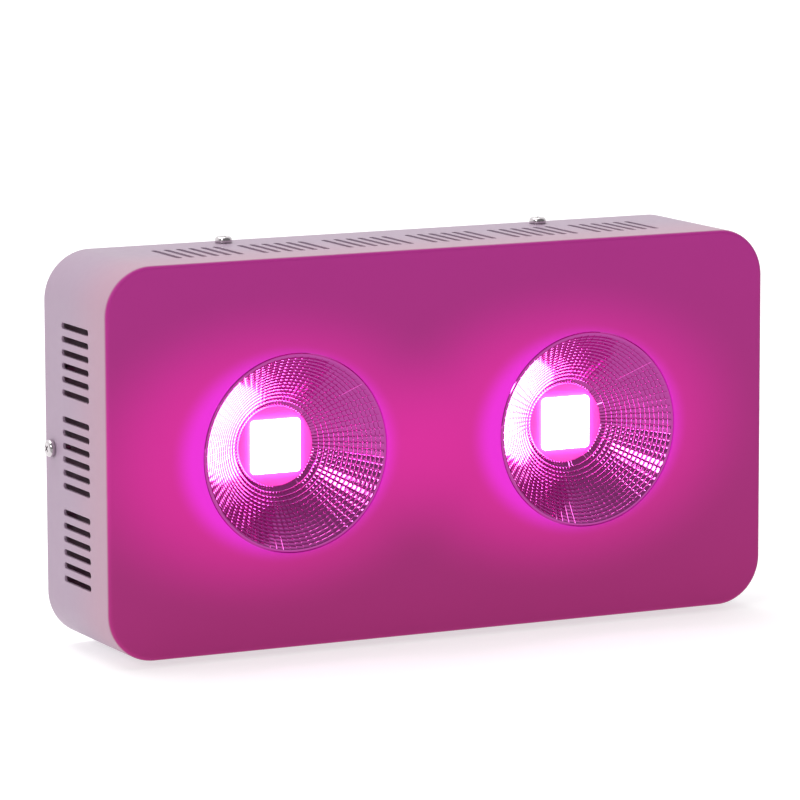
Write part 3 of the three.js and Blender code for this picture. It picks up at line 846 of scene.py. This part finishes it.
def guard(side, sizes, wire_metal):
    node = f"fan_guard_{side}"
    axis = middle(node)
    outer = extent(f"fan_frame_{side}").x / 2 - sizes.fan_wall - sizes.wire
    inner, rings = 12 * MM, 4
    parts = []
    for i in range(rings):
        radius = inner + (outer - inner) * i / (rings - 1)
        bpy.ops.object.select_all(action="DESELECT")
        bpy.ops.mesh.primitive_torus_add(
            major_radius=radius, minor_radius=sizes.wire, major_segments=96, minor_segments=12,
            location=(axis.x, axis.y, axis.z), rotation=(math.pi / 2, 0, 0))
        parts.append(made("ring"))
    grille = parts[0]
    for part in parts[1:]:
        combine(grille, part, "UNION")
    for i in range(1, 5):
        seat = middle(f"fan_screw_{side}_{i}")
        spoke = Vector((seat.x - axis.x, 0, seat.z - axis.z))
        reach = spoke.length - 2 * MM
        arm = new_rod("arm", (0, 0, inner + (reach - inner) / 2), sizes.wire * 0.95,
                      reach - inner + MM, "Z", 12)
        arm.matrix_world = (Matrix.Translation(axis)
                            @ spoke.to_track_quat("Z", "Y").to_matrix().to_4x4())
        combine(grille, settle(arm), "UNION")
        eye = new_rod("eye", (seat.x, axis.y, seat.z), 4.2 * MM, 2 * sizes.wire * 0.98, "Y", 40)
        combine(grille, eye, "UNION")
        combine(grille, new_rod("drill", (seat.x, axis.y, seat.z), GUARD_HOLE, 0.01, "Y", 24),
                "DIFFERENCE")
    soften(grille, 40)
    grille.name = f"guard_{side}"
    give(grille, wire_metal, node, "housing")


# Power -----------------------------------------------------------------------------------


def bezel(node, corner, segments, edge):
    """The round-cornered rim of a piece, from the cover's face to the front of its box."""
    back = box(node)[1][1]
    axis, size = middle(node), extent(node)
    rim = new_block("rim", (axis.x, (SEAT + back) / 2, axis.z), (size.x, back - SEAT, size.z))
    round_edges(rim, along(1), corner, segments)
    round_edges(rim, at_level(back), edge, 3)
    return rim


def case(name, node, size):
    """The box of a piece behind the cover's face, and the level of its inner end."""
    axis = middle(node)
    end = SEAT - size[1]
    return new_block(name, (axis.x, (SEAT + end) / 2, axis.z), size), end


def solder_tab(spot, end):
    """A tab that stands out of a case's inner end."""
    width, long, thick = TAB
    overlap = 0.2 * MM
    return new_block("tab", (spot.x, end + overlap / 2 - long / 2, spot.z),
                     (width, long + overlap, thick))


def inlet(plastic, pin_metal):
    node = "power_inlet"
    back = box(node)[1][1]
    axis = middle(node)
    piece, end = case("mains_inlet", node, INLET_BODY)
    combine(piece, bezel(node, 3 * MM, 6, 0.8 * MM), "UNION")
    wide, deep, tall = INLET_RECESS
    floor = back - deep
    room = 5 * MM
    recess = new_block("recess", (axis.x, (floor + back + room) / 2, axis.z), (wide, deep + room, tall))
    round_edges(recess, lambda edge: along(1)(edge) and edge.verts[0].co.z > axis.z, 4 * MM, 1)
    round_edges(recess, along(1), 0.8 * MM, 3)
    combine(piece, recess, "DIFFERENCE")
    soften(piece, 35, 0.2 * MM)
    clad(piece, plastic)
    metal = inlet_pins(axis, floor, end)
    clad(metal, pin_metal)
    enlist(join([piece, metal], "mains_inlet"), node, "housing")


def inlet_pins(axis, floor, end):
    """Three pins that stand on the recess's floor, each with a tab at the other end."""
    width, long, tall = INLET_PIN
    root = 0.5 * MM
    parts = []
    for place in (-1, 0, 1):
        rise = PIN_OFFSET if place == 0 else -PIN_OFFSET
        spot = axis + Vector((place * PIN_SPACING, 0, rise))
        pin = new_block("pin", (spot.x, floor + (long - root) / 2, spot.z), (width, long + root, tall))
        round_edges(pin, at_level(floor + long), 0.6 * MM, 3)
        parts += [pin, solder_tab(spot, end)]
    metal = join(parts, "inlet_pins")
    soften(metal, 35, 0.15 * MM)
    return metal


def switch(plastic, gloss):
    node = "switch_body"
    back = box(node)[1][1]
    axis = middle(node)
    body, end = case("switch_case", node, SWITCH_BODY)
    combine(body, bezel(node, 1.5 * MM, 5, 0.7 * MM), "UNION")
    combine(body, new_block("pocket", (axis.x, back, axis.z), SWITCH_POCKET), "DIFFERENCE")
    pivot = Vector(next(j["pos_m"] for j in frame["joints"] if j["child"] == "switch_button"))
    combine(body, new_rod("bore", pivot, 1.5 * MM, 11.8 * MM, "X", 32), "DIFFERENCE")
    for place in (-1, 1):
        spot = axis + Vector((0, 0, place * SWITCH_BODY[2] / 4))
        combine(body, solder_tab(spot, end), "UNION")
    soften(body, 35, 0.2 * MM)
    give(body, plastic, node, "housing")
    rocker(pivot, gloss)


def rocker(pivot, gloss):
    """A button with a hollow face, turned to the rest position of the CAD one."""
    button = new_block("rocker", pivot, ROCKER)
    # A wide cylinder hollows the face.
    hollow = new_rod("hollow", pivot + Vector((0, 18.7 * MM, 0)), 15.6 * MM, 0.05, "X", 160)
    combine(button, hollow, "DIFFERENCE")
    open_mesh(button)
    pick(button, "FACE", lambda face: face.normal.y < -0.9)
    bpy.ops.transform.resize(value=(1, 1, 0.36), center_override=(*pivot,))
    close_mesh()
    combine(button, new_rod("pin", pivot, 1.2 * MM, 11.2 * MM, "X", 32), "UNION")
    open_mesh(button)
    bpy.ops.mesh.select_all(action="SELECT")
    bpy.ops.transform.rotate(value=-math.radians(ROCKER_REST), orient_axis="X",
                             center_override=(*pivot,))
    close_mesh()
    soften(button, 35, 0.3 * MM)
    give(button, gloss, "switch_rocker", "switch_button")


# Hanging eyes ----------------------------------------------------------------------------


def hanging_eyes(metal):
    collar_radius, collar_height = EYE_COLLAR
    for name in EYES:
        node = f"hanging_eye_{name}"
        low, high = box(node)
        axis = middle(node)
        centre = Vector((axis.x, high[1] - EYE_WIRE - EYE_RING, axis.z))
        bpy.ops.object.select_all(action="DESELECT")
        bpy.ops.mesh.primitive_torus_add(
            major_radius=EYE_RING, minor_radius=EYE_WIRE, major_segments=56, minor_segments=16,
            location=centre, rotation=(0, math.pi / 2, 0))
        piece = made(f"eye_{name}")
        spot = (axis.x, SEAT + collar_height / 2, axis.z)
        collar = new_rod("collar", spot, collar_radius, collar_height, "Y", 48)
        round_edges(collar, at_level(SEAT + collar_height), 0.5 * MM, 3)
        stem_end = centre.y - EYE_RING
        stem = new_rod("stem", (axis.x, (low[1] + stem_end) / 2, axis.z), EYE_SHANK,
                       stem_end - low[1], "Y", 32)
        combine(stem, collar, "UNION")
        combine(piece, stem, "UNION")
        soften(piece, 40, 0.1 * MM)
        give(piece, metal, node, "housing")
        nut(name, metal)


def nut(name, metal):
    node = f"eye_nut_{name}"
    axis, size = middle(node), extent(node)
    piece = new_rod(f"nut_{name}", axis, size.z / 2, size.y, "Y", 6)
    combine(piece, new_rod("bore", axis, EYE_HOLE, 0.02, "Y", 32), "DIFFERENCE")
    soften(piece, 25, 0.2 * MM)
    give(piece, metal, node, "housing")


# Stage -----------------------------------------------------------------------------------


def camera():
    data = bpy.data.cameras.new("camera")
    eye = bpy.data.objects.new("camera", data)
    bpy.context.collection.objects.link(eye)
    data.lens, data.sensor_width = CAMERA_LENS, 36.0
    data.clip_start, data.clip_end = 0.05, 50.0
    yaw, pitch, roll = (math.radians(a) for a in (CAMERA_YAW, CAMERA_PITCH, CAMERA_ROLL))
    forward = Vector((math.sin(yaw) * math.cos(pitch), math.cos(yaw) * math.cos(pitch),
                      -math.sin(pitch)))
    right = Vector((math.cos(yaw), -math.sin(yaw), 0))
    up = right.cross(forward)
    tilted = right * math.cos(roll) + up * math.sin(roll)
    above = up * math.cos(roll) - right * math.sin(roll)
    eye.matrix_world = Matrix.Translation(CAMERA_PLACE) @ Matrix(
        (tilted, above, -forward)).transposed().to_4x4()
    bpy.context.scene.camera = eye


def reflection_card():
    """A grey card on the floor in front, seen only in the lamp's mirrors."""
    bpy.ops.object.select_all(action="DESELECT")
    bpy.ops.mesh.primitive_plane_add(size=3.0, location=(0, FRONT - 1.5, 0.5 * MM))
    card = bpy.context.active_object
    card.name = "reflection_card"
    card.data.materials.append(
        Finish("grey card", (0.1, 0.1, 0.1), 0.9, Emission_Color=(1.0, 1.0, 1.0, 1.0),
               Emission_Strength=0.42).material)
    card.visible_camera = False
    card.visible_diffuse = False
    card.visible_shadow = False
    card.visible_transmission = False


def studio_light():
    """A bright studio behind the lamp and a dim one in front of it."""
    world = bpy.data.worlds.new("studio")
    bpy.context.scene.world = world
    world.use_nodes = True
    tree = world.node_tree
    place = tree.nodes.new("ShaderNodeTexCoord")
    parts = tree.nodes.new("ShaderNodeSeparateXYZ")
    strength = tree.nodes.new("ShaderNodeMapRange")
    for name, value in (("From Min", -0.35), ("From Max", 0.35), ("To Min", 0.20), ("To Max", 1.1)):
        strength.inputs[name].default_value = value
    tree.links.new(place.outputs["Generated"], parts.inputs[0])
    tree.links.new(parts.outputs["Y"], strength.inputs["Value"])
    tree.links.new(strength.outputs[0], tree.nodes["Background"].inputs["Strength"])
    tree.nodes["Background"].inputs["Color"].default_value = (1.0, 1.0, 1.0, 1.0)
    sun("overhead", (-0.15, 0.25, 1.0), 1.5, 50)
    sun("left", (-0.67, -0.56, 0.49), 0.7, 14)


def sun(name, source, strength, width):
    """A soft light, width degrees across, that shines from a direction."""
    data = bpy.data.lights.new(name, "SUN")
    data.energy, data.angle = strength, math.radians(width)
    lamp = bpy.data.objects.new(name, data)
    bpy.context.collection.objects.link(lamp)
    lamp.rotation_euler = Vector(source).to_track_quat("Z", "Y").to_euler()


def stage():
    floor = Finish("floor", (0.55, 0.55, 0.55), 0.8, Emission_Strength=0.55)
    floor.set("Emission Color", (1.0, 1.0, 1.0, 1.0))
    floor.vary("Roughness", floor.noise(40.0), 0.7, 0.9)
    bpy.ops.object.select_all(action="DESELECT")
    bpy.ops.mesh.primitive_plane_add(size=12.0, location=(0, 0, 0))
    ground = bpy.context.active_object
    ground.name = "floor"
    ground.data.materials.append(floor.material)
    reflection_card()
    studio_light()
    view = bpy.context.scene.view_settings
    view.view_transform = "Standard"
    camera()


# Operators -------------------------------------------------------------------------------


class GrowLightStep(bpy.types.Operator):
    """Gives every step the sizes and the look"""

    bl_options = {"REGISTER", "UNDO"}

    @property
    def sizes(self):
        return bpy.context.scene.grow_light_sizes

    @property
    def look(self):
        return bpy.context.scene.grow_light_look


class GROWLIGHT_OT_housing(GrowLightStep):
    """Builds the slotted housing, the rear cover and the screws that join them"""

    bl_idname = "grow_light.housing"
    bl_label = "Housing and cover"

    def execute(self, context):
        paint = paint_finish("white powder coat", self.look)
        # A dark maroon for the inner walls: painted shade with painted magenta light.
        inside = plain_grain("inner wall", (0.30, 0.05, 0.16), 0.6)
        housing(self.sizes, paint, inside)
        cover(self.sizes, plain_grain("rear powder coat", self.look.rear_colour, 0.42, 0.0, 1400))
        cover_screws(plain_grain("nickel plate", (0.62, 0.58, 0.60), 0.18, 1.0, 1200, 0.01, 0.05))
        return {"FINISHED"}


class GROWLIGHT_OT_engines(GrowLightStep):
    """Builds the reflectors and the lit squares, and finishes the boards, the heatsinks, their posts
    and the LED screws
    """

    bl_idname = "grow_light.engines"
    bl_label = "Light engines"

    def execute(self, context):
        # The mirror's magenta tint is a painted reflection of the lamps' magenta light on silver
        # metallised plastic.
        magenta_painted_mirror = plain_grain("metallised bowl", (0.85, 0.13, 0.62), 0.07, 1.0, 1500, 0.002, 0.02)
        lit = emitter_finish("lit resin", self.look)
        for side in SIDES:
            reflector(side, self.sizes, magenta_painted_mirror)
            emitter(side, lit)
        boards = [f"led_board_{side}" for side in SIDES]
        # The boards' magenta colour and their glow, an emission though they are no lamp, are painted
        # light of the lamps.
        coat(boards, plain_grain("solder mask with painted glow", (0.75, 0.08, 0.5), 0.5,
                                 Emission_Color=(0.95, 0.03, 0.55, 1.0), Emission_Strength=0.45))
        coat([f"heatsink_{side}" for side in SIDES],
             brushed("extruded aluminium", (0.62, 0.63, 0.65), 0.38, (60, 60, 1)))
        posts = [f"heatsink_post_{side}_{i}" for side in SIDES for i in range(1, 5)]
        screws = [f"led_screw_{side}_{i}" for side in SIDES for i in (1, 2)]
        coat(posts + screws, plain_grain("zinc plate", (0.6, 0.6, 0.62), 0.3, 1.0))
        return {"FINISHED"}


class GROWLIGHT_OT_fans(GrowLightStep):
    """Builds the fans, their wire guards and the guards' screws"""

    bl_idname = "grow_light.fans"
    bl_label = "Fans and guards"

    def execute(self, context):
        plastic = plain_grain("black moulded plastic", (0.022, 0.022, 0.024), 0.48, 0.0, 700, 0.03)
        wire = plain_grain("bright wire", (0.72, 0.72, 0.74), 0.14, 1.0)
        for side in SIDES:
            fan_frame(side, self.sizes, plastic)
            fan_rotor(side, self.sizes, plastic)
            guard(side, self.sizes, wire)
        fan_screws(plain_grain("black oxide", (0.035, 0.035, 0.038), 0.35, 0.6))
        return {"FINISHED"}


class GROWLIGHT_OT_power(GrowLightStep):
    """Builds the mains inlet and the switch, and finishes the drivers and the leads"""

    bl_idname = "grow_light.power"
    bl_label = "Power"

    def execute(self, context):
        plastic = plain_grain("inlet plastic", (0.025, 0.025, 0.027), 0.45, 0.0, 700, 0.03)
        pins = plain_grain("bright pins", (0.7, 0.69, 0.67), 0.2, 1.0)
        gloss = plain_grain("rocker plastic", (0.02, 0.02, 0.022), 0.16, 0.0, 500, 0.004, 0.03)
        inlet(plastic, pins)
        switch(plastic, gloss)
        coat(["led_driver_upper", "led_driver_lower"],
             brushed("driver case", (0.55, 0.56, 0.58), 0.35, (1, 60, 60)))
        coat(["led_lead_left", "led_lead_right", "inlet_lead", "feed_lead_lower", "feed_lead_upper"],
             plain_grain("lead sheath", (0.03, 0.03, 0.032), 0.5))
        return {"FINISHED"}


class GROWLIGHT_OT_eyes(GrowLightStep):
    """Builds the hanging eyes and their nuts"""

    bl_idname = "grow_light.eyes"
    bl_label = "Hanging eyes"

    def execute(self, context):
        hanging_eyes(plain_grain("zinc plated steel", (0.62, 0.62, 0.64), 0.28, 1.0))
        return {"FINISHED"}


class GROWLIGHT_OT_stage(GrowLightStep):
    """Builds the floor, the light and the camera"""

    bl_idname = "grow_light.stage"
    bl_label = "Stage"

    def execute(self, context):
        stage()
        return {"FINISHED"}


STEPS = (GROWLIGHT_OT_housing, GROWLIGHT_OT_engines, GROWLIGHT_OT_fans, GROWLIGHT_OT_power,
         GROWLIGHT_OT_eyes, GROWLIGHT_OT_stage)


class GROWLIGHT_PT_panel(bpy.types.Panel):
    """Lists the steps and the settings"""

    bl_idname = "GROWLIGHT_PT_panel"
    bl_label = "LED grow light"
    bl_space_type = "VIEW_3D"
    bl_region_type = "UI"
    bl_category = "Grow Light"

    def draw(self, context):
        for step in STEPS:
            self.layout.operator(step.bl_idname)
        for settings in (context.scene.grow_light_sizes, context.scene.grow_light_look):
            column = self.layout.box()
            for name in settings.__annotations__:
                column.prop(settings, name)


CLASSES = (GrowLightSizes, GrowLightLook, *STEPS, GROWLIGHT_PT_panel)


def register():
    for cls in CLASSES:
        bpy.utils.register_class(cls)
    bpy.types.Scene.grow_light_sizes = bpy.props.PointerProperty(type=GrowLightSizes)
    bpy.types.Scene.grow_light_look = bpy.props.PointerProperty(type=GrowLightLook)


def unregister():
    del bpy.types.Scene.grow_light_look
    del bpy.types.Scene.grow_light_sizes
    for cls in reversed(CLASSES):
        bpy.utils.unregister_class(cls)


def main():
    register()
    bpy.ops.grow_light.housing()
    bpy.ops.grow_light.engines()
    bpy.ops.grow_light.fans()
    bpy.ops.grow_light.power()
    bpy.ops.grow_light.eyes()
    bpy.ops.grow_light.stage()


if __name__ == "__main__":
    main()
